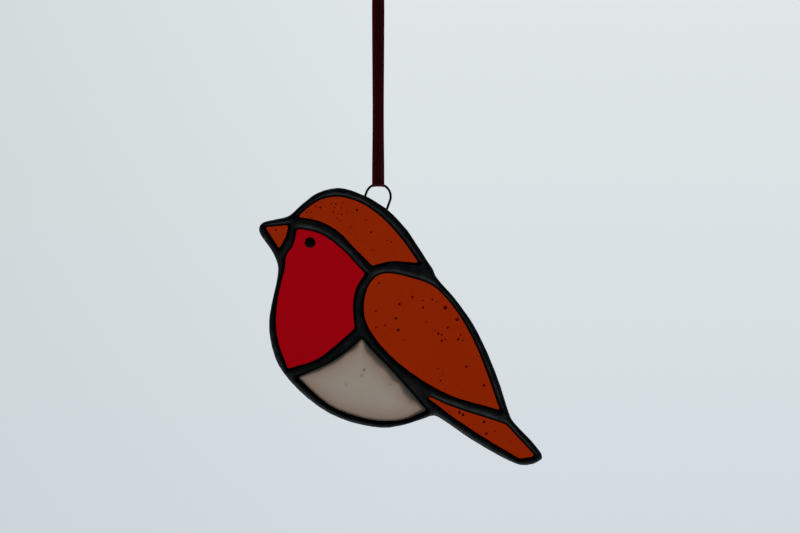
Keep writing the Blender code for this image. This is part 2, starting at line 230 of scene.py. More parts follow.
@dataclass(frozen=True)
class PatinatedMetal:
    """Solder or tinned wire, blackened with patina: near black, with a soft grey sheen where it is wiped.

    Attributes:
        name: The material's name.
        dark: The colour of full patina.
        worn: The colour where wiping has thinned it.
        patina_and_shade: The colour along the foot of a bead beside the glass: painted shade in that corner, with
            patina gathered there.
        smooth: Roughness where it is wiped the smoothest.
        dull: Roughness where it is dullest.
        metallic: How much of the metal's mirror is left under the patina.
        gloss: Specular level of the patina itself.
        graze: Tint of its reflections near the outline.
    """

    name: str
    dark: str
    worn: str
    patina_and_shade: str
    smooth: float = 0.3
    dull: float = 0.5
    metallic: float = 1.0
    gloss: float = 0.5
    graze: str = "#606060"

    def make(self) -> bpy.types.Material:
        """Builds the material and returns it."""
        blackened = {
            "Metallic": self.metallic,
            "Specular IOR Level": self.gloss,
            "Specular Tint": self.graze,
        }
        material, tree, shader = new_material(self.name, blackened)
        place = add_node(tree, "TexCoord").outputs["Object"]
        to_glass = add_node(tree, "Attribute", {"attribute_name": "to_glass"}).outputs["Fac"]
        clouds = add_node(tree, "TexNoise", {"Scale": per(5 * MM), "Detail": 5.0}, {"Vector": place})
        grain = add_node(tree, "TexNoise", {"Scale": per(0.5 * MM), "Detail": 4.0}, {"Vector": place})
        lengthwise = add_node(tree, "VectorMath", {"operation": "SCALE", "Scale": per(6 * MM)}, {0: place})
        crosswise = add_node(tree, "Math", {"operation": "MULTIPLY", 1: per(0.5 * MM)}, {0: to_glass})
        strokes = add_node(
            tree,
            "VectorMath",
            {"operation": "ADD"},
            {0: lengthwise.outputs[0], 1: crosswise.outputs[0]},
        )
        wiping = add_node(tree, "TexNoise", {"Scale": 1.0, "Detail": 3.0}, {"Vector": strokes.outputs[0]})
        both = add_node(
            tree, "Math", {"operation": "MULTIPLY"}, {0: clouds.outputs[0], 1: wiping.outputs[0]}
        )
        thinned = add_node(tree, "MapRange", {"From Min": 0.15, "From Max": 0.38}, {"Value": both.outputs[0]})
        wiped = add_node(
            tree, "MixRGB", {"Color1": self.dark, "Color2": self.worn}, {"Fac": thinned.outputs[0]}
        )
        # Painted shade: the colour darkens along the foot of each bead beside the glass, where patina also gathers.
        clear_of_foot = add_node(
            tree,
            "MapRange",
            {"From Min": 0.4 * MM, "From Max": 1.7 * MM, "interpolation_type": "SMOOTHSTEP"},
            {"Value": to_glass},
        )
        tint = add_node(
            tree,
            "MixRGB",
            {"Color1": self.patina_and_shade},
            {"Fac": clear_of_foot.outputs[0], "Color2": wiped.outputs[0]},
        )
        rough = add_node(
            tree, "MapRange", {"To Min": self.smooth, "To Max": self.dull}, {"Value": grain.outputs[0]}
        )
        relief = add_node(
            tree, "Math", {"operation": "ADD"}, {0: grain.outputs[0], 1: wiping.outputs[0]}
        )
        bump = add_node(
            tree, "Bump", {"Strength": 0.35, "Distance": 0.03 * MM}, {"Height": relief.outputs[0]}
        )
        tree.links.new(tint.outputs[0], shader.inputs["Base Color"])
        tree.links.new(rough.outputs[0], shader.inputs["Roughness"])
        tree.links.new(bump.outputs[0], shader.inputs["Normal"])
        return material


@dataclass(frozen=True)
class BlackEnamel:
    """A drop of black glass paint, which sets domed and nearly matt.

    Attributes:
        name: The material's name.
        body: Its colour.
        speck: The colour of its fine specks.
    """

    name: str
    body: str
    speck: str

    def make(self) -> bpy.types.Material:
        """Builds the material and returns it."""
        paint = {"Specular IOR Level": 0.09, "Roughness": 0.45}
        material, tree, shader = new_material(self.name, paint)
        place = add_node(tree, "TexCoord").outputs["Object"]
        specks = add_node(tree, "TexNoise", {"Scale": per(0.6 * MM), "Detail": 2.0}, {"Vector": place})
        tint = add_node(
            tree, "MixRGB", {"Color1": self.body, "Color2": self.speck}, {"Fac": specks.outputs[0]}
        )
        bump = add_node(
            tree, "Bump", {"Strength": 0.2, "Distance": 0.01 * MM}, {"Height": specks.outputs[0]}
        )
        tree.links.new(tint.outputs[0], shader.inputs["Base Color"])
        tree.links.new(bump.outputs[0], shader.inputs["Normal"])
        return material


@dataclass(frozen=True)
class SatinRibbon:
    """Double-faced polyester satin: fine threads along it give a soft gloss, and painted light makes its sides
    lighter.

    The threads are 0.15 mm apart on the real one, too fine to show, so they are drawn 0.4 mm apart.

    Attributes:
        name: The material's name.
        body: The colour of its face.
        edge: Painted light: the lighter colour that it takes on towards its sides.
        width: Its width.
        thread: Space between two threads.
    """

    name: str
    body: str
    edge: str
    width: float = 5.2 * MM
    thread: float = 0.4 * MM

    def make(self) -> bpy.types.Material:
        """Builds the material and returns it."""
        satin = {
            "Roughness": 0.42,
            "Specular IOR Level": 0.2,
            "Sheen Weight": 0.1,
            "Sheen Tint": "#B05060",
        }
        material, tree, shader = new_material(self.name, satin)
        place = add_node(tree, "UVMap", {"uv_map": "strip"}).outputs["UV"]
        apart = add_node(tree, "SeparateXYZ", links={"Vector": place})
        from_edge = add_node(
            tree, "Math", {"operation": "PINGPONG", 1: self.width / 2}, {0: apart.outputs["X"]}
        )
        # Painted light: the colour lightens towards both sides of the strip.
        toward_painted_light = add_node(
            tree,
            "MapRange",
            {"From Min": 2.1 * MM, "From Max": 0.7 * MM},
            {"Value": from_edge.outputs[0]},
        )
        drawn_out = (per(self.thread), per(12 * self.thread), 1)
        stretched = add_node(tree, "Mapping", {"Scale": drawn_out}, {"Vector": place})
        threads = add_node(
            tree, "TexNoise", {"Scale": 1.0, "Detail": 2.0}, {"Vector": stretched.outputs[0]}
        )
        # Painted glints: along the threads, the face takes on some of that lighter colour.
        glints = add_node(tree, "Math", {"operation": "MULTIPLY", 1: 0.4}, {0: threads.outputs[0]})
        face = add_node(
            tree, "MixRGB", {"Color1": self.body, "Color2": self.edge}, {"Fac": glints.outputs[0]}
        )
        edges = add_node(
            tree,
            "MixRGB",
            {"Color2": self.edge},
            {"Fac": toward_painted_light.outputs[0], "Color1": face.outputs[0]},
        )
        bump = add_node(
            tree, "Bump", {"Strength": 0.3, "Distance": 0.04 * MM}, {"Height": threads.outputs[0]}
        )
        tree.links.new(edges.outputs[0], shader.inputs["Base Color"])
        tree.links.new(bump.outputs[0], shader.inputs["Normal"])
        return material


AMBER = CathedralGlass("amber_cathedral_glass", "#A12904", "#9A2603")
RED = CathedralGlass("red_cathedral_glass", "#AE0210", "#AA010F")
# The painted shadow of the solder in the opal glass: a colour for each share of light.
PAINTED_SHADOW = (
    (0.14, "#696769"),
    (0.39, "#A89C9B"),
    (0.72, "#DDCAC5"),
    (0.88, "#F1E3E2"),
    (0.95, "#F9F3F6"),
    (1.0, "#FFFFFF"),
)
WHITE = OpalGlass("white_opalescent_glass", "#A99A8B", "#B2A696", PAINTED_SHADOW)
SOLDER = PatinatedMetal("black_patina_solder", "#383B3E", "#565A5C", "#101010")
WIRE = PatinatedMetal("black_patina_wire", "#0A0B0C", "#141517", "#080808", 0.5, 0.7, 0.0, 0.15)
ENAMEL = BlackEnamel("black_enamel", "#030303", "#0A0A09")
# The ribbon's second colour is painted light, for its lighter sides.
SATIN = SatinRibbon("burgundy_satin_ribbon", "#430610", "#711429")


def only(piece: bpy.types.Object) -> None:
    """Selects one object and makes it the active one."""
    bpy.ops.object.select_all(action="DESELECT")
    piece.select_set(True)
    bpy.context.view_layer.objects.active = piece


def copy_of_node(node: str, name: str) -> bpy.types.Object:
    """Copies a CAD node's mesh and merges its loose triangles.

    Args:
        node: The CAD node.
        name: The name of the copy.

    Returns:
        The copy, which is the active object.
    """
    piece = bpy.data.objects.new(name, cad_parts[node].data.copy())
    bpy.context.scene.collection.objects.link(piece)
    piece.data.materials.clear()
    only(piece)
    bpy.ops.object.mode_set(mode="EDIT")
    bpy.ops.mesh.select_all(action="SELECT")
    bpy.ops.mesh.remove_doubles(threshold=0.002 * MM)
    bpy.ops.object.mode_set(mode="OBJECT")
    return piece


def remesh(piece: bpy.types.Object, voxel: float) -> None:
    """Gives a piece an even mesh of that cell size."""
    only(piece)
    change = piece.modifiers.new("even mesh", "REMESH")
    change.mode = "VOXEL"
    change.voxel_size = voxel
    change.use_smooth_shade = True
    bpy.ops.object.modifier_apply(modifier=change.name)


def points_of(mesh: bpy.types.Mesh) -> np.ndarray:
    """The places of a mesh's vertices, one row each."""
    places = np.zeros(len(mesh.vertices) * 3)
    mesh.vertices.foreach_get("co", places)
    return places.reshape(-1, 3)


def move_points(mesh: bpy.types.Mesh, places: np.ndarray) -> None:
    """Puts a mesh's vertices at new places, one row each."""
    mesh.vertices.foreach_set("co", places.ravel())
    mesh.update()


def draw_tip(mesh: bpy.types.Mesh) -> None:
    """Draws a mesh out to the sharp tip of the tail glass."""
    places = points_of(mesh)
    away = np.linalg.norm((places - TAIL_TIP)[:, [0, 2]], axis=1)
    share = np.exp(-((away / TIP_REACH) ** 2))
    move_points(mesh, places + share[:, None] * TIP_MOVE)


def hand_over(
    piece: bpy.types.Object, material: bpy.types.Material, nodes: Iterable[str]
) -> bpy.types.Object:
    """Dresses a finished piece and puts it in the place of its CAD nodes.

    Args:
        piece: The finished piece, with its place in its mesh.
        material: Its material.
        nodes: The CAD nodes that it stands for.

    Returns:
        The piece.
    """
    piece.data.materials.clear()
    piece.data.materials.append(material)
    only(piece)
    bpy.ops.object.shade_smooth()
    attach(piece, BODY)
    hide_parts(*nodes)
    LOG.info("%s: %d faces", piece.name, len(piece.data.polygons))
    return piece


def dome(share: float) -> float:
    """Height of a quarter round of height 1, at this share of its width from its foot."""
    return math.sqrt(1 - (1 - min(max(share, 0.0), 1.0)) ** 2)


@dataclass
class Studio:
    """The photograph's view, a pale backdrop and floor, and soft light.

    Attributes:
        photo_width: Width of the photograph in pixels.
        photo_height: Its height in pixels.
        pixel: The real size of one of its pixels at the bird.
        plumb_column: The column of pixels that the ribbon hangs in.
        loop_row: The row of pixels at the top of the wire loop.
        lens: Focal length, in millimetres.
        sensor: Width of the camera's sensor, in millimetres.
        floor_level: Height of the floor, below the view.
        floor_radius: Where the floor has faded into the backdrop.
        room: The colour of the unlit room in front of the bird.
    """

    photo_width: float = 800
    photo_height: float = 533
    pixel: float = 0.425 * MM
    plumb_column: float = 378.2
    loop_row: float = 184.0
    lens: float = 100
    sensor: float = 36
    floor_level: float = -0.5
    floor_radius: float = 1.0
    room: str = "#141618"

    def make_camera(self) -> None:
        """Puts a level camera in front of the bird, at the photograph's framing."""
        data = bpy.data.cameras.new("photo_camera")
        data.lens = self.lens
        data.sensor_width = self.sensor
        camera = bpy.data.objects.new("photo_camera", data)
        bpy.context.scene.collection.objects.link(camera)
        across = (self.photo_width / 2 - self.plumb_column) * self.pixel
        height = LOOP_TOP + (self.loop_row - self.photo_height / 2) * self.pixel
        away = self.photo_width * self.pixel * self.lens / self.sensor
        camera.location = (across, -away, height)
        camera.rotation_euler = (math.pi / 2, 0, 0)
        bpy.context.scene.camera = camera

    def make_world(self) -> None:
        """Makes the pale light behind the bird, brighter below, and the dark room in front of it."""
        world = bpy.data.worlds.new("pale_room")
        bpy.context.scene.world = world
        world.use_nodes = True
        tree = world.node_tree
        tree.nodes.clear()
        direction = add_node(tree, "TexCoord").outputs["Generated"]
        apart = add_node(tree, "SeparateXYZ", links={"Vector": direction})
        across, down, behind, below = (
            add_node(
                tree, "MapRange", {"From Min": start, "From Max": end}, {"Value": apart.outputs[axis]}
            ).outputs[0]
            for axis, start, end in (("X", -0.18, 0.0), ("Z", 0.12, -0.12), ("Y", -0.2, 0.25), ("Z", 0.7, -0.3))
        )
        high = add_node(tree, "MixRGB", {"Color1": "#D3DBDB", "Color2": "#E0E6E7"}, {"Fac": across})
        low = add_node(tree, "MixRGB", {"Color1": "#CCD5DA", "Color2": "#D3DBE1"}, {"Fac": across})
        backdrop = add_node(
            tree, "MixRGB", links={"Fac": down, "Color1": high.outputs[0], "Color2": low.outputs[0]}
        )
        window = add_node(tree, "Math", {"operation": "MULTIPLY"}, {0: behind, 1: below})
        rays = add_node(tree, "LightPath")
        seen = add_node(
            tree,
            "Math",
            {"operation": "MAXIMUM"},
            {0: rays.outputs["Is Camera Ray"], 1: rays.outputs["Is Transmission Ray"]},
        )
        bright = add_node(
            tree, "Math", {"operation": "MAXIMUM"}, {0: seen.outputs[0], 1: window.outputs[0]}
        )
        colour = add_node(
            tree,
            "MixRGB",
            {"Color1": self.room},
            {"Fac": bright.outputs[0], "Color2": backdrop.outputs[0]},
        )
        light = add_node(tree, "Background", links={"Color": colour.outputs[0]})
        add_node(tree, "OutputWorld", links={"Surface": light.outputs[0]})
        bpy.context.scene.view_settings.view_transform = "Standard"

    def add_softbox(self, name: str, place: Vector, aim: Vector, size: float, power: float) -> None:
        """Adds a square area light.

        Args:
            name: The light's name.
            place: Where it stands.
            aim: The point that it faces.
            size: The length of its sides.
            power: Its power in watts.
        """
        data = bpy.data.lights.new(name, "AREA")
        data.size = size
        data.energy = power
        lamp = bpy.data.objects.new(name, data)
        bpy.context.scene.collection.objects.link(lamp)
        lamp.location = place
        lamp.rotation_euler = (aim - place).to_track_quat("-Z", "Y").to_euler()
        lamp.visible_camera = False

    def make_lights(self) -> None:
        """Hangs a softbox behind and above the bird and two dim ones in front, and lights the floor."""
        bird = Vector((0.01, 0, -0.14))
        self.add_softbox("window_softbox", bird + Vector((-0.1, 0.7, 0.9)), bird, 0.8, 6.0)
        self.add_softbox("low_softbox", bird + Vector((-0.15, -0.62, -0.27)), bird, 0.2, 0.12)
        self.add_softbox("front_softbox", bird + Vector((0.1, -0.9, 0.75)), bird, 0.7, 0.12)
        over_floor = Vector((0, 0, self.floor_level + 0.26))
        self.add_softbox("floor_softbox", over_floor, over_floor - Vector((0, 0.001, 1)), 2.0, 7.0)

    def make_floor(self) -> None:
        """Lays a pale round floor whose rim fades into the backdrop."""
        bpy.ops.object.select_all(action="DESELECT")
        bpy.ops.mesh.primitive_circle_add(
            vertices=96, radius=self.floor_radius, fill_type="NGON", location=(0, 0, self.floor_level)
        )
        floor = bpy.context.object
        floor.name = "floor"
        matt = {"Roughness": 0.9, "Base Color": "#E4E8E9"}
        material, tree, shader = new_material("pale_floor", matt)
        place = add_node(tree, "TexCoord").outputs["Object"]
        away = add_node(tree, "VectorMath", {"operation": "LENGTH"}, {0: place})
        fade = add_node(
            tree,
            "MapRange",
            {"From Min": 0.25 * self.floor_radius, "From Max": 0.95 * self.floor_radius},
            {"Value": away.outputs["Value"]},
        )
        clear = add_node(tree, "BsdfTransparent")
        mixed = add_node(
            tree,
            "MixShader",
            links={0: fade.outputs[0], 1: shader.outputs[0], 2: clear.outputs[0]},
        )
        tree.links.new(mixed.outputs[0], tree.nodes["Material Output"].inputs["Surface"])
        floor.data.materials.append(material)

    def build(self) -> None:
        """Makes the whole stage."""
        self.make_camera()
        self.make_world()
        self.make_lights()
        self.make_floor()


def border_loops(mesh: bpy.types.Mesh) -> list[np.ndarray]:
    """Follows the open borders of a mesh.

    Args:
        mesh: A mesh with open borders that never touch.

    Returns:
        The points of each border in order, one row each.
    """
    uses = Counter(key for face in mesh.polygons for key in face.edge_keys)
    beside = defaultdict(list)
    for (a, b), count in uses.items():
        if count == 1:
            beside[a].append(b)
            beside[b].append(a)
    places = points_of(mesh)
    loops = []
    left = set(beside)
    while left:
        loop = [left.pop()]
        while onward := [corner for corner in beside[loop[-1]] if corner in left]:
            loop.append(onward[0])
            left.discard(onward[0])
        loops.append(places[loop])
    return loops


def box_middle(loop: np.ndarray) -> np.ndarray:
    """The middle of the box round a line in the XZ plane."""
    return (loop.min(axis=0) + loop.max(axis=0))[[0, 2]] / 2


def mark(piece: bpy.types.Object, name: str, values: Iterable[float]) -> None:
    """Gives a piece's vertices a value each, which its material reads by name."""
    layer = piece.data.attributes.new(name, "FLOAT", "POINT")
    layer.data.foreach_set("value", np.array(values, dtype=np.float32))


def tree_of(points: Iterable[np.ndarray]) -> kdtree.KDTree:
    """Makes a search tree of points, pressed flat in the XZ plane."""
    points = list(points)
    tree = kdtree.KDTree(len(points))
    for i, (x, _, z) in enumerate(points):
        tree.insert((x, 0, z), i)
    tree.balance()
    return tree


def points_along(loop: np.ndarray, step: float = 0.1 * MM) -> list[np.ndarray]:
    """Lays points along a closed line.

    Args:
        loop: The corners of the line.
        step: The most space between two points.

    Returns:
        The points.
    """
    points = []
    for a, b in zip(loop, np.roll(loop, -1, axis=0)):
        count = math.ceil(np.linalg.norm(b - a) / step)
        points += [a + (b - a) * i / count for i in range(count)]
    return points


def tree_along(loops: Iterable[np.ndarray]) -> kdtree.KDTree:
    """Makes a search tree of points along closed lines."""
    return tree_of(point for loop in loops for point in points_along(loop))


def smooth_rows(rows: np.ndarray, step: float) -> np.ndarray:
    """Runs a smooth curve through rows of values whose first three are a place.

    Args:
        rows: The rows that the curve goes through.
        step: The space between two rows of the result.

    Returns:
        Evenly spaced rows along the curve.
    """
    gaps = np.linalg.norm(np.diff(rows[:, :3], axis=0), axis=1)
    reach = np.concatenate([[0], np.cumsum(gaps)])
    slopes = np.gradient(rows, reach, axis=0)
    count = round(reach[-1] / step)
    found = []
    for at in np.linspace(0, reach[-1], count + 1):
        i = min(np.searchsorted(reach, at, side="right") - 1, len(gaps) - 1)
        gap = gaps[i]
        t = (at - reach[i]) / gap
        found.append(
            (2 * t**3 - 3 * t**2 + 1) * rows[i]
            + (t**3 - 2 * t**2 + t) * gap * slopes[i]
            + (3 * t**2 - 2 * t**3) * rows[i + 1]
            + (t**3 - t**2) * gap * slopes[i + 1]
        )
    return np.array(found)


@dataclass
class LeadPattern:
    """The lines along which the solder meets the glass and the open air, read from the CAD net.

    Attributes:
        above_glass: Height above the glass at which the net is cut for them.
        corners: Sharp corners of the windows: x, z and how far away the cut's points are drawn to each.
        region: The flat cut through the net.
        outline: Corners of the bird's outline.
        windows: For each pane's node, the corners of its window.
    """

    above_glass: float = 0.4 * MM
    corners: tuple[tuple[float, float, float], ...] = (
        (20.2, -89.9, 3.2), (52.0, -96.1, 1.5), (20.4, -95.9, 1.3), (-6.9, -65.8, 1.3), (-34.0, -82.1, 1.3),
        (-34.2, -14.0, 1.5), (17.4, -33.5, 1.5), (-48.2, -18.2, 1.3), (-38.1, -17.3, 1.2), (-42.0, -27.5, 1.3),
        (-5.6, -37.9, 0.9), (-38.4, -78.5, 0.9),
    )
    region: bpy.types.Object = field(init=False)
    outline: np.ndarray = field(init=False)
    windows: dict[str, np.ndarray] = field(init=False)

    def __post_init__(self) -> None:
        """Cuts a copy of the net just above its panes and keeps only the flat cut."""
        self.region = copy_of_node("solder_lines", "solder_beads")
        bpy.ops.object.mode_set(mode="EDIT")
        bpy.ops.mesh.select_all(action="SELECT")
        bpy.ops.mesh.bisect(
            plane_co=(0, -GLASS_HALF - self.above_glass, 0),
            plane_no=(0, 1, 0),
            use_fill=True,
            clear_inner=True,
            clear_outer=True,
        )
        bpy.ops.object.mode_set(mode="OBJECT")
        self.sharpen()
        loops = sorted(border_loops(self.region.data), key=lambda loop: np.ptp(loop, axis=0)[0])
        self.outline = loops.pop()
        self.windows = {}
        for node in GLASS_NODES:
            low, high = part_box(node)
            middle = np.array((low + high) / 2)[[0, 2]]
            self.windows[node] = min(loops, key=lambda loop: np.linalg.norm(box_middle(loop) - middle))

    def sharpen(self) -> None:
        """Draws the cut out to sharp corners, a little too far, because the solder rounds them when it flows."""
        places = points_of(self.region.data)
        for x, z, reach in self.corners:
            corner = np.array((x * MM, places[0][1], LOOP_TOP + z * MM))
            near = np.linalg.norm(places - corner, axis=1) < reach * MM
            places[near] = corner + 0.1 * (places[near] - corner)
        move_points(self.region.data, places)


@dataclass
class SolderNet:
    """The net of solder lines: domed beads on both faces, and a rounded edge round the bird.

    Attributes:
        pattern: The lines along which it meets the glass and the air.
        cell: Size of the mesh's cells.
        crown: Height of a full bead above the glass.
        seam_half: From a bead's foot to where it is at its full height.
        nose: Half the height of the blunt middle of the rim.
        rim_round: Width over which the rim rounds off.
        lump: How far the hand-run solder strays from an even bead.
        lump_length: How far apart its lumps are.
        ripple: How far its finer ripples stray, left by each touch of the iron.
        ripple_length: How far apart they are.
        flow: How often the whole net is smoothed.
        regain: What the smoothing takes off, which is put back on.
        rim_regain: How far up the rim faces, and how much more than that it gets back there, in millimetres.
        foot_regain: How much more the foot of a bead gets back beside a window, where it faces up.
        low_foot_regain: The same where it faces down.
        foot_reach: How far from a window that goes.
        narrowed: What more the feet beside some windows lose, by the pane's node.
        foot_shade_scale: Shares of the real distance from a window that are marked, by the pane's node,
            so that the painted shade and patina at a bead's foot reach further there.
        foot_depth: How far the foot of a bead runs into the glass.
        tack_radius: Radius of the solder at a foot of the wire, at the rim.
        tack_length: Length of that solder.
    """

    pattern: LeadPattern
    cell: float = 0.36 * MM
    crown: float = 1.15 * MM
    seam_half: float = 2.1 * MM
    nose: float = 1.0 * MM
    rim_round: float = 1.3 * MM
    lump: float = 0.1 * MM
    lump_length: float = 5.0 * MM
    ripple: float = 0.035 * MM
    ripple_length: float = 1.7 * MM
    flow: int = 4
    regain: float = 0.12 * MM
    rim_regain: tuple[Point2, ...] = ((-1, -0.33), (-0.8, -0.27), (-0.5, 0.08), (0, -0.09), (1, -0.03))
    foot_regain: float = -0.2 * MM
    low_foot_regain: float = -0.05 * MM
    foot_reach: float = 0.8 * MM
    narrowed: dict[str, float] = field(default_factory=lambda: {"belly_glass": 0.2 * MM})
    foot_shade_scale: dict[str, float] = field(default_factory=lambda: {"belly_glass": 0.5})
    foot_depth: float = 0.15 * MM
    tack_radius: float = 0.8 * MM
    tack_length: float = 1.6 * MM

    def make_plate(self, region: bpy.types.Object) -> None:
        """Gives the flat region the thickness of the glass, in an even mesh."""
        only(region)
        bpy.ops.object.mode_set(mode="EDIT")
        bpy.ops.mesh.select_all(action="SELECT")
        bpy.ops.transform.translate(value=(0, self.pattern.above_glass, 0))
        bpy.ops.mesh.extrude_region_move(TRANSFORM_OT_translate={"value": (0, 2 * GLASS_HALF, 0)})
        bpy.ops.mesh.select_all(action="SELECT")
        bpy.ops.mesh.normals_make_consistent(inside=False)
        bpy.ops.object.mode_set(mode="OBJECT")
        remesh(region, self.cell)

    def half_height(self, to_glass: float, to_rim: float) -> float:
        """Half the thickness of the net at one place.

        Args:
            to_glass: How far the place is from the nearest window.
            to_rim: How far it is from the outline.

        Returns:
            The height of the solder there, from the middle of the bird.
        """
        rise = (self.crown + self.foot_depth) * dome(to_glass / self.seam_half)
        full = GLASS_HALF - self.foot_depth + rise
        return self.nose + (full - self.nose) * dome(to_rim / self.rim_round)

    def swell(self, plate: bpy.types.Object, outline: kdtree.KDTree, windows: kdtree.KDTree) -> None:
        """Raises the plate into beads.

        Args:
            plate: The even plate.
            outline: Points along the bird's outline.
            windows: Points along the windows.
        """
        places = points_of(plate.data)
        for place in places:
            flat = (place[0], 0, place[2])
            half = self.half_height(windows.find(flat)[2], outline.find(flat)[2])
            place[1] *= half / GLASS_HALF
        move_points(plate.data, places)

    def add_tacks(self, net: bpy.types.Object, feet: list[tuple[Vector, Vector]]) -> None:
        """Flows a small cone of solder up each foot of the wire.

        Args:
            net: The swollen net.
            feet: For each foot, its place in the rim and its direction down into it.
        """
        for place, down in feet:
            bpy.ops.object.select_all(action="DESELECT")
            bpy.ops.mesh.primitive_cone_add(
                vertices=24,
                radius1=self.tack_radius,
                radius2=0.4 * MM,
                depth=self.tack_length,
                location=place - down * (self.tack_length / 2 - 0.6 * MM),
                rotation=(-down).to_track_quat("Z", "Y").to_euler(),
            )
            tack = bpy.context.object
            bpy.ops.object.transform_apply()
            only(net)
            tack.select_set(True)
            bpy.ops.object.join()
        remesh(net, self.cell)

    def soften(self, net: bpy.types.Object, outline: kdtree.KDTree) -> None:
        """Lets the solder flow: small edges go, and soft lumps come.

        Args:
            net: The net.
            outline: Points along the bird's outline.
        """
        only(net)
        bpy.ops.object.mode_set(mode="EDIT")
        bpy.ops.mesh.select_all(action="SELECT")
        bpy.ops.mesh.vertices_smooth(factor=0.5, repeat=self.flow)
        bpy.ops.transform.shrink_fatten(value=self.regain)
        bpy.ops.object.mode_set(mode="OBJECT")
        places = points_of(net.data)
        windows = [(tree_along([loop]), self.narrowed.get(node, 0)) for node, loop in self.pattern.windows.items()]
        for place, vertex in zip(places, net.data.vertices):
            spot = vertex.co
            flat = (spot.x, 0, spot.z)
            near_rim = math.exp(-((outline.find(flat)[2] / self.rim_round) ** 2))
            to_glass, narrowed = min((tree.find(flat)[2], narrowed) for tree, narrowed in windows)
            near_glass = math.exp(-((to_glass / self.foot_reach) ** 2))
            lumps = self.lump * noise.noise_vector(spot / self.lump_length)
            lumps += self.ripple * noise.noise_vector(spot / self.ripple_length)
            rim = np.interp(vertex.normal.z, *zip(*self.rim_regain)) * MM
            foot = np.interp(vertex.normal.z, (-1, 1), (self.low_foot_regain, self.foot_regain)) - narrowed
            place += np.array(lumps + vertex.normal * (rim * near_rim + foot * near_glass))
        move_points(net.data, places)

    def mark_to_glass(self, net: bpy.types.Object) -> None:
        """Marks how far each place is from the glass, which says where the foot of a bead is darkened by painted
        shade and patina.
        """
        shares = [(tree_along([loop]), self.foot_shade_scale.get(node, 1.0)) for node, loop in self.pattern.windows.items()]
        values = [min(tree.find((x, 0, z))[2] * share for tree, share in shares) for x, _, z in points_of(net.data)]
        mark(net, "to_glass", values)

    def build(self, feet: list[tuple[Vector, Vector]]) -> bpy.types.Object:
        """Makes the net.

        Args:
            feet: For each foot of the wire, its place in the rim and its direction.

        Returns:
            The finished net.
        """
        net = self.pattern.region
        outline = tree_along([self.pattern.outline])
        windows = tree_along(self.pattern.windows.values())
        self.make_plate(net)
        self.swell(net, outline, windows)
        self.add_tacks(net, feet)
        self.soften(net, outline)
        self.mark_to_glass(net)
        draw_tip(net.data)
        return hand_over(net, SOLDER.make(), ["solder_lines"])


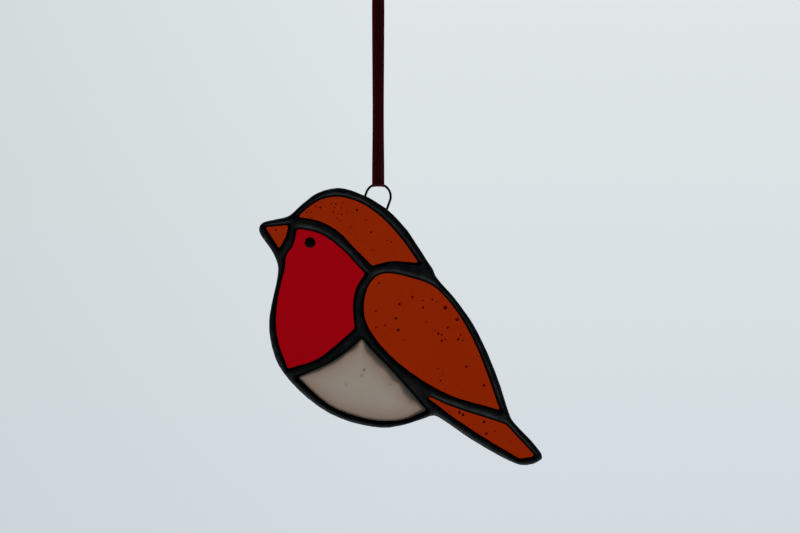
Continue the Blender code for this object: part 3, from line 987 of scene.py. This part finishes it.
@dataclass
class Pane:
    """A pane of sheet glass, with a faint roll in its faces and seeds of trapped air.

    Attributes:
        node: The CAD node of the pane.
        name: The piece's name.
        slot: The record's material slot. Not used.
        finish: Its glass.
        seeds: The plain ones: for each diameter, x and z from the top of the wire loop, in millimetres.
        fine_seeds: How many more of the finest are scattered in it.
        shade_line: For a milky pane, stations round its border: x, z and how far the solder's painted shadow reaches
            there.
        falloff: The light in that painted shadow: shares of its reach, and the share of the light that comes
            through.
        cell: Size of the mesh's cells.
        roll: Height of the ripples that the roller leaves.
        roll_length: How far apart they are.
    """

    node: str
    name: str
    slot: str
    finish: CathedralGlass | OpalGlass
    seeds: dict[float, tuple[Point2, ...]] = field(default_factory=dict)
    fine_seeds: int = 0
    shade_line: tuple[tuple[float, float, float], ...] = ()
    falloff: tuple[Point2, ...] = ((0, 0.12), (0.25, 0.2), (0.47, 0.3), (0.6, 0.36), (0.72, 0.52), (0.85, 0.74), (1, 0.88), (1.3, 0.94), (2.5, 1))
    cell: float = 0.6 * MM
    roll: float = 0.03 * MM
    roll_length: float = 9 * MM

    def roll_faces(self, pane: bpy.types.Object, half: float) -> None:
        """Gives both faces the soft ripples of rolled glass."""
        places = points_of(pane.data)
        for place in places:
            if abs(place[1]) > half - self.cell:
                ripple = noise.noise(Vector(place) / self.roll_length)
                place[1] = math.copysign(half - 0.02 * MM + self.roll * ripple, place[1])
        move_points(pane.data, places)

    def scattered(self, generator: np.random.Generator) -> list[tuple[Vector, float]]:
        """Finds places for the finest seeds, clear of the pane's edge.

        Args:
            generator: The source of chance.

        Returns:
            The place and the diameter of each.
        """
        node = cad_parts[self.node]
        low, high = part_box(self.node)
        found: list[tuple[Vector, float]] = []
        while len(found) < self.fine_seeds:
            spot = Vector((generator.uniform(low.x, high.x), 0, generator.uniform(low.z, high.z)))
            _, nearest, normal, _ = node.closest_point_on_mesh(spot)
            inside = (nearest - spot).dot(normal) > 0
            if inside and (nearest - spot).length > 0.95 * GLASS_HALF:
                spot.y = generator.uniform(-0.6, 0.6) * GLASS_HALF
                found.append((spot, generator.uniform(0.18, 0.38) * MM))
        return found

    def add_seeds(self, pane: bpy.types.Object) -> None:
        """Hollows out the seeds, as closed bubbles whose faces point into them."""
        generator = np.random.default_rng(len(self.name))
        bubbles = [
            (Vector((x * MM, generator.uniform(-0.4, 0.4) * GLASS_HALF, LOOP_TOP + z * MM)), size * MM)
            for size, places in self.seeds.items()
            for x, z in places
        ]
        bubbles += self.scattered(generator)
        if not bubbles:
            return
        bpy.ops.object.select_all(action="DESELECT")
        bpy.ops.mesh.primitive_ico_sphere_add(subdivisions=2, radius=0.5)
        seed = bpy.context.object
        bpy.ops.object.mode_set(mode="EDIT")
        bpy.ops.mesh.select_all(action="SELECT")
        bpy.ops.mesh.flip_normals()
        bpy.ops.object.mode_set(mode="OBJECT")
        only(pane)
        for place, size in bubbles:
            bubble = bpy.data.objects.new("bubble", seed.data.copy())
            bpy.context.scene.collection.objects.link(bubble)
            stretch = generator.uniform(1.0, 1.3)
            shape = Matrix.Diagonal((size, size, size * stretch, 1))
            bubble.data.transform(Matrix.Translation(place) @ shape)
            bubble.select_set(True)
        bpy.ops.object.join()
        bpy.data.objects.remove(seed)

    def shade(self, pane: bpy.types.Object, pattern: LeadPattern) -> None:
        """Marks how much light comes through a milky pane, whose colour gets a painted shadow of the solder inwards
        from its border.

        Args:
            pane: The pane.
            pattern: The lines along which the solder meets the glass.
        """
        stations = [(x * MM, 0, LOOP_TOP + z * MM, reach * MM) for x, z, reach in self.shade_line]
        line = smooth_rows(np.array(stations), 0.2 * MM)
        stations_tree = tree_of(line[:, :3])
        border = tree_along([pattern.windows[self.node]])
        specks = [
            (Vector((x * MM, 0, LOOP_TOP + z * MM)), size * MM)
            for size, places in self.seeds.items()
            for x, z in places
        ]
        lit = []
        for x, _, z in points_of(pane.data):
            spot = Vector((x, 0, z))
            foot, _, away = border.find(spot)
            _, station, _ = stations_tree.find(foot)
            wave = 1 + 0.5 * noise.noise(foot / (4 * MM))
            share = np.interp(away / (line[station, 3] * wave), *zip(*self.falloff))
            # Painted shade: a little more darkening all along the border, further in.
            share *= 1 - 0.28 * math.exp(-away / (3.8 * MM))
            for place, size in specks:
                share *= 1 - 0.22 * math.exp(-(((spot - place).length / size) ** 2))
            lit.append(share)
        mark(pane, "lit", lit)

    def build(self, pattern: LeadPattern) -> bpy.types.Object:
        """Makes the pane.

        Args:
            pattern: The lines along which the solder meets the glass.

        Returns:
            The finished pane.
        """
        pane = copy_of_node(self.node, self.name)
        remesh(pane, self.cell)
        self.roll_faces(pane, GLASS_HALF)
        draw_tip(pane.data)
        self.add_seeds(pane)
        if self.shade_line:
            self.shade(pane, pattern)
        return hand_over(pane, self.finish.make(), [self.node])


@dataclass
class EyeDot:
    """The eye: a drop of black enamel on the front of the red glass.

    Attributes:
        height: How far it stands out of the glass.
        sink: How far its foot runs into the glass.
        sides: Sides of its outline.
    """

    height: float = 1.1 * MM
    sink: float = 0.1 * MM
    sides: int = 64

    def build(self) -> bpy.types.Object:
        """Makes the dot and returns it."""
        low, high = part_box("eye_dot")
        middle = (low + high) / 2
        radius = (high.x - low.x) / 2
        glass_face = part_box("breast_glass")[0].y
        bpy.ops.object.select_all(action="DESELECT")
        bpy.ops.mesh.primitive_uv_sphere_add(
            segments=self.sides,
            ring_count=self.sides // 2,
            radius=radius,
            location=(middle.x, glass_face, middle.z),
            rotation=(math.pi / 2, 0, 0),
        )
        dot = bpy.context.object
        dot.name = "enamel_eye"
        bpy.ops.object.transform_apply()
        bpy.ops.object.mode_set(mode="EDIT")
        bpy.ops.mesh.select_all(action="SELECT")
        bpy.ops.transform.resize(
            value=(1, self.height / radius, 1), center_override=(middle.x, glass_face, middle.z)
        )
        bpy.ops.mesh.bisect(
            plane_co=(0, glass_face + self.sink, 0), plane_no=(0, 1, 0), use_fill=True, clear_outer=True
        )
        bpy.ops.object.mode_set(mode="OBJECT")
        places = points_of(dot.data)
        for place in places:
            place += 0.05 * MM * np.array(noise.noise_vector(Vector(place) / (2 * MM)))
        move_points(dot.data, places)
        return hand_over(dot, ENAMEL.make(), ["eye_dot"])


@dataclass
class HangingLoop:
    """The bent wire: a half circle on two straight legs, leaning towards the tail.

    Attributes:
        wire: Thickness of the wire.
        radius: Radius of the bend, to the middle of the wire.
        lean: How far the loop leans from the plumb line.
        sides: Sides of the wire.
        steps: Steps round the bend.
    """

    wire: float = 1.0 * MM
    radius: float = 5.3 * MM
    lean: float = math.radians(20)
    sides: int = 16
    steps: int = 40

    @property
    def down(self) -> Vector:
        """The direction in which its legs run into the rim."""
        return Vector((-math.sin(self.lean), 0, -math.cos(self.lean)))

    @property
    def centre(self) -> Vector:
        """The middle of the bend."""
        return Vector((0, 0, LOOP_TOP - self.radius))

    def ends(self) -> list[Vector]:
        """Where the bend ends, towards the beak and towards the tail."""
        along = Vector((math.cos(self.lean), 0, -math.sin(self.lean)))
        return [self.centre - along * self.radius, self.centre + along * self.radius]

    def feet(self) -> list[tuple[Vector, Vector]]:
        """Finds where each leg meets the rim.

        Returns:
            For each leg, the place that it reaches in the solder and its direction.
        """
        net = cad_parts["solder_lines"]
        found = []
        for end in self.ends():
            _, place, _, _ = net.ray_cast(end, self.down)
            found.append((place, self.down))
        return found

    def build(self, feet: list[tuple[Vector, Vector]]) -> bpy.types.Object:
        """Bends the wire.

        Args:
            feet: For each leg, the place that it reaches in the solder and its direction.

        Returns:
            The finished loop.
        """
        (first, _), (last, _) = feet
        start, end = self.ends()
        bpy.ops.object.select_all(action="DESELECT")
        bpy.ops.mesh.primitive_circle_add(
            vertices=self.sides,
            radius=self.wire / 2,
            fill_type="NGON",
            location=first,
            rotation=(-self.down).to_track_quat("Z", "Y").to_euler(),
        )
        loop = bpy.context.object
        loop.name = "wire_loop"
        bpy.ops.object.transform_apply()
        bpy.ops.object.mode_set(mode="EDIT")
        bpy.ops.mesh.select_all(action="SELECT")
        bpy.ops.mesh.extrude_region_move(TRANSFORM_OT_translate={"value": start - first})
        bpy.ops.mesh.spin(steps=self.steps, angle=-math.pi, center=self.centre, axis=(0, 1, 0))
        bpy.ops.mesh.extrude_region_move(TRANSFORM_OT_translate={"value": last - end})
        bpy.ops.mesh.select_all(action="SELECT")
        bpy.ops.mesh.remove_doubles(threshold=0.002 * MM)
        bpy.ops.mesh.normals_make_consistent(inside=False)
        bpy.ops.object.mode_set(mode="OBJECT")
        mark(loop, "to_glass", [self.radius] * len(loop.data.vertices))
        return hand_over(loop, WIRE.make(), ["hanging_loop"])


@dataclass(frozen=True)
class StripPlace:
    """One place on the ribbon's way.

    Attributes:
        middle: The middle of the strip, in millimetres.
        turn: How far the strip is turned about its own length, in degrees.
        width: Its width, as a share of the flat ribbon.
        pleat: Depth of the pleats that a narrow place is gathered into, in millimetres.
    """

    middle: tuple[float, float, float]
    turn: float = 0.0
    width: float = 1.0
    pleat: float = 0.0

    def values(self) -> list[float]:
        """All its numbers in one row."""
        return [*self.middle, self.turn, self.width, self.pleat]

    def behind(self) -> "StripPlace":
        """The same place on the back half, which is the front half turned half round the plumb line."""
        x, y, z = self.middle
        return StripPlace((-x, -y, z), -self.turn, self.width, self.pleat)


FRONT_HALF = (
    StripPlace((-5.2, -3.0, 22.3), 6, 0.98),
    StripPlace((-4.2, -2.5, 18.3), 9, 1.0),
    StripPlace((-2.9, -1.9, 13.8), 12, 0.97, 0.1),
    StripPlace((-1.5, -1.25, 9.8), 12, 0.82, 0.35),
    StripPlace((-0.5, -0.85, 7.2), 6, 0.6, 0.55),
    StripPlace((0, -0.75, 5.2), 0, 0.52, 0.6),
    StripPlace((0, -1.1, 3.2), 0, 0.6, 0.55),
    StripPlace((0, -1.7, 1.0), 0, 0.8, 0.35),
    StripPlace((0, -2.15, -2.0), 0, 0.96, 0.1),
    StripPlace((0, -2.2, -8), 2),
    StripPlace((0, -1.95, -22), 9),
    StripPlace((0, -1.65, -40), 20),
    StripPlace((0, -1.35, -55), 24),
    StripPlace((0, -1.1, -67), 20),
    StripPlace((0, -0.85, -77), 9),
    StripPlace((0, -0.68, -83), 1),
)


@dataclass
class Ribbon:
    """The satin ribbon: one strip from cut end to cut end, folded in two round the wire and knotted.

    Attributes:
        width: Width of the flat ribbon.
        thick: Its thickness.
        selvedge: How much thicker it is along its woven edges.
        fold: Radius of its fold round the wire.
        slant: How far a cut end runs back from one edge to the other.
        knot: Middle of the knot.
        step: Space between two rows of its mesh.
        columns: Points across each of its faces.
        arc: The radius of the wire loop, which the fold lies against.
        hang: How far the fold hangs below the top of the wire, more than at its edges.
        saddle: How closely the fold follows the bend of the wire.
    """

    width: float = 5.2 * MM
    thick: float = 0.3 * MM
    selvedge: float = 0.12 * MM
    fold: float = 0.72 * MM
    slant: float = 2.4 * MM
    knot: Vector = field(default_factory=lambda: Vector((0, 0, 5.2 * MM)))
    step: float = 0.5 * MM
    columns: int = 15
    arc: float = 5.3 * MM
    hang: float = 0.25 * MM
    saddle: float = 0.35

    def way(self) -> np.ndarray:
        """Lists the whole way of the strip.

        Returns:
            One row for each station: middle in metres, turn in radians, share of the width, depth of the pleats.
        """
        bends = [math.radians(angle) for angle in range(0, 181, 30)]
        around = [
            StripPlace((0, -self.fold / MM * math.cos(bend), (LOOP_TOP - self.fold * math.sin(bend)) / MM))
            for bend in bends
        ]
        stations = [*FRONT_HALF, *around, *(place.behind() for place in reversed(FRONT_HALF))]
        rows = np.array([station.values() for station in stations])
        rows[:, :3] *= MM
        rows[:, 3] = np.radians(rows[:, 3])
        rows[:, 5] *= MM
        return smooth_rows(rows, self.step)

    def section(self, row: np.ndarray, along: np.ndarray, slide: float) -> list[Vector]:
        """Lays out the points round the strip at one place.

        Args:
            row: The place's row of the way.
            along: The direction in which the strip runs on.
            slide: How far one edge is ahead of the other, at a slanted cut.

        Returns:
            The points of its outer face and then, the other way round, of its inner one.
        """
        middle = Vector(row[:3])
        forward = Vector(along).normalized()
        level = (Vector((1, 0, 0)) - forward * forward.x).normalized()
        across = Matrix.Rotation(row[3], 3, forward) @ level
        outward = across.cross(forward)
        near_wire = max(0.0, 1 - max(0.0, row[2] - LOOP_TOP) / (9 * MM)) ** 2
        outer, inner = [], []
        for column in range(self.columns):
            share = 2 * column / (self.columns - 1) - 1
            aside = share * row[4] * self.width / 2
            bend = self.arc - math.sqrt(self.arc**2 - aside**2)
            sink = near_wire * (self.hang + self.saddle * bend)
            pleat = row[5] * math.cos(3.5 * math.pi * share + 0.6)
            half = self.thick / 2 + self.selvedge / 2 * math.exp(-(((abs(share) - 0.86) / 0.07) ** 2))
            half *= min(1.0, 0.55 + 4.0 * (1 - abs(share)))
            spot = middle + across * aside + outward * pleat + forward * slide * share - Vector((0, 0, sink))
            outer.append(spot + outward * half)
            inner.append(spot - outward * half)
        return outer + inner[::-1]

    def weave(self) -> tuple[bpy.types.Object, list[Vector]]:
        """Makes the strip.

        Returns:
            The strip, and the points along its middle.
        """
        rows = self.way()
        ahead = np.gradient(rows[:, :3], axis=0)
        reach = np.concatenate([[0], np.cumsum(np.linalg.norm(np.diff(rows[:, :3], axis=0), axis=1))])
        points, faces, marks = [], [], []
        count = 2 * self.columns
        for index, (row, along) in enumerate(zip(rows, ahead)):
            to_end = min(index, len(rows) - 1 - index) * self.step
            slide = self.slant / 2 * max(0.0, 1 - to_end / (6 * MM))
            points += self.section(row, along, slide if index < len(rows) / 2 else -slide)
        for index in range(len(rows) - 1):
            for side in range(count):
                here, there = index * count + side, index * count + (side + 1) % count
                faces.append((here, there, there + count, here + count))
        last = (len(rows) - 1) * count
        for side in range(self.columns - 1):
            low, high = side, count - 1 - side
            faces.append((low, high, high - 1, low + 1))
            faces.append((last + low, last + low + 1, last + high - 1, last + high))
        mesh = bpy.data.meshes.new("satin_ribbon")
        mesh.from_pydata(points, [], faces)
        strip = bpy.data.objects.new("satin_ribbon", mesh)
        bpy.context.scene.collection.objects.link(strip)
        layer = mesh.uv_layers.new(name="strip")
        for corner in mesh.loops:
            index, side = divmod(corner.vertex_index, count)
            column = side if side < self.columns else count - 1 - side
            layer.data[corner.index].uv = (column / (self.columns - 1) * self.width, reach[index])
        return strip, [Vector(row[:3]) for row in rows]

    def wrap(self) -> bpy.types.Object:
        """Makes the turn of the knot, a gathered band round both layers."""
        turns, sides = 64, 20
        points, faces = [], []
        tilt = Matrix.Rotation(math.radians(24), 3, "Y")
        for step in range(turns):
            angle = 2 * math.pi * step / turns
            out = Vector((math.cos(angle), math.sin(angle), 0))
            wide = 1.75 * MM * (1 + 0.15 * math.sin(angle + 0.7))
            for side in range(sides):
                turn = 2 * math.pi * side / sides
                bulge = 0.62 * MM * math.cos(turn)
                crease = 0.13 * MM * math.cos(3 * turn + 2 * angle) * max(0.0, math.cos(turn))
                rise = Vector((0, 0, 1)) * wide * math.sin(turn)
                oval = Vector((out.x * 2.5 * MM, out.y * 2.0 * MM, 0))
                points.append(self.knot + tilt @ (oval + out * (bulge + crease) + rise))
        for step in range(turns):
            for side in range(sides):
                here, beside = step * sides + side, step * sides + (side + 1) % sides
                onward = sides if step < turns - 1 else -step * sides
                faces.append((here, here + onward, beside + onward, beside))
        mesh = bpy.data.meshes.new("knot_turn")
        mesh.from_pydata(points, [], faces)
        band = bpy.data.objects.new("knot_turn", mesh)
        bpy.context.scene.collection.objects.link(band)
        layer = mesh.uv_layers.new(name="strip")
        for corner in mesh.loops:
            step, side = divmod(corner.vertex_index, sides)
            layer.data[corner.index].uv = (side / sides * self.width * 2, step / turns * 15 * MM)
        return band

    def build(self) -> bpy.types.Object:
        """Makes the ribbon and returns it."""
        ribbon, path = self.weave()
        band = self.wrap()
        only(ribbon)
        band.select_set(True)
        bpy.ops.object.join()
        only(ribbon)
        bpy.ops.object.mode_set(mode="EDIT")
        bpy.ops.mesh.select_all(action="SELECT")
        bpy.ops.mesh.normals_make_consistent(inside=False)
        bpy.ops.object.mode_set(mode="OBJECT")
        hand_over(ribbon, SATIN.make(), ["ribbon"])
        length = sum((b - a).length for a, b in zip(path, path[1:]))
        LOG.info("%s: %.1f mm from cut end to cut end", ribbon.name, length / MM)
        [tuple(place) for place in (*path[:-1:2], path[-1])]
        return ribbon


WING_SEEDS = {
    1.6: ((28.5, -52.5), (33.5, -57.5)),
    1.3: ((8.5, -62), (7.5, -57), (34, -66)),
    1.15: ((9, -51), (45, -85.5), (14.5, -48), (25.5, -63.5)),
    1.0: ((19, -52.5), (29.5, -61), (27, -66.5), (37.5, -77.5), (3, -60)),
    0.85: ((23, -49), (-1, -54), (26.5, -83.5), (35, -64), (-1, -61), (19, -49.5), (27, -64)),
    0.7: ((20.5, -58.5), (28.5, -66), (36, -66.5), (25.5, -78.5), (0.5, -42)),
    0.55: ((11, -66.5), (27.5, -81), (24, -62), (24.5, -50)),
}
TAIL_SEEDS = {
    1.3: ((36, -98), (34.5, -97), (45, -101)),
    1.15: ((46, -106),),
    0.7: ((49.5, -105),),
}
CROWN_SEEDS = {
    1.15: ((-9, -11),),
    0.9: ((-24.5, -10),),
    0.75: ((-18, -8.5), (-19, -12), (5.5, -24.5), (-20, -8.5), (-3, -20.5)),
    0.6: (
        (-15, -8), (-18.5, -10), (-15.5, -10), (-15.5, -13), (-17, -12.5), (-17.5, -14.5), (-2.5, -28),
        (-16, -15.5), (-12, -18.5), (4, -24), (-5, -15.5), (-30.5, -12), (-28.5, -12), (-26.5, -9.5),
    ),
    0.45: (
        (-16, -11.5), (-17, -16), (-25.5, -10), (-13.5, -11.5), (-5, -24.5), (-8.5, -24), (-30, -13.5),
        (1.5, -32),
    ),
}
BEAK_SEEDS = {0.7: ((-43.5, -19.5),)}
BELLY_SEEDS = {
    0.75: ((-6, -79),),
    0.5: ((5, -85), (15.5, -94), (-7, -81.5), (-13.5, -85), (13.5, -93)),
}
# Stations of the belly pane's painted shadow: x, z and reach, in millimetres.
BELLY_PAINTED_SHADE = (
    (20, -96, 1.5), (16.5, -92, 2.4), (13, -88.5, 2.9), (9, -84, 3.0), (3, -77.5, 2.7), (0, -74.5, 3.1),
    (-3, -71, 2.8), (-5.5, -68.5, 1.9), (-7, -66.5, 0.7), (-9.5, -69, 1.1), (-15, -74, 1.3),
    (-21.5, -77, 1.3), (-28, -80, 1.0), (-33.5, -82, 0.6), (-28, -88, 0.25), (-21.5, -93.5, 0.25),
    (-13.5, -97.5, 0.25), (-4, -99.5, 0.25), (5, -100, 0.25), (12.5, -99, 0.4), (20, -96, 1.5),
)

PANES = (
    Pane("beak_glass", "beak_pane", "amber_glass", AMBER, BEAK_SEEDS, 2),
    Pane("crown_glass", "crown_pane", "amber_glass", AMBER, CROWN_SEEDS, 40),
    Pane("breast_glass", "breast_pane", "red_glass", RED),
    Pane(
        "belly_glass",
        "belly_pane",
        "white_glass",
        WHITE,
        BELLY_SEEDS,
        shade_line=BELLY_PAINTED_SHADE,
        cell=0.36 * MM,
    ),
    Pane("wing_glass", "wing_pane", "amber_glass", AMBER, WING_SEEDS, 50),
    Pane("tail_glass", "tail_pane", "amber_glass", AMBER, TAIL_SEEDS, 8),
)


def main() -> None:
    """Builds the suncatcher piece by piece and reports each one."""
    logging.basicConfig(level=logging.INFO, format="%(name)s: %(message)s")
    Studio().build()
    loop = HangingLoop()
    feet = loop.feet()
    pattern = LeadPattern()
    Ribbon().build()
    loop.build(feet)
    SolderNet(pattern).build(feet)
    for pane in PANES:
        pane.build(pattern)
    EyeDot().build()


if __name__ == "__main__":
    main()
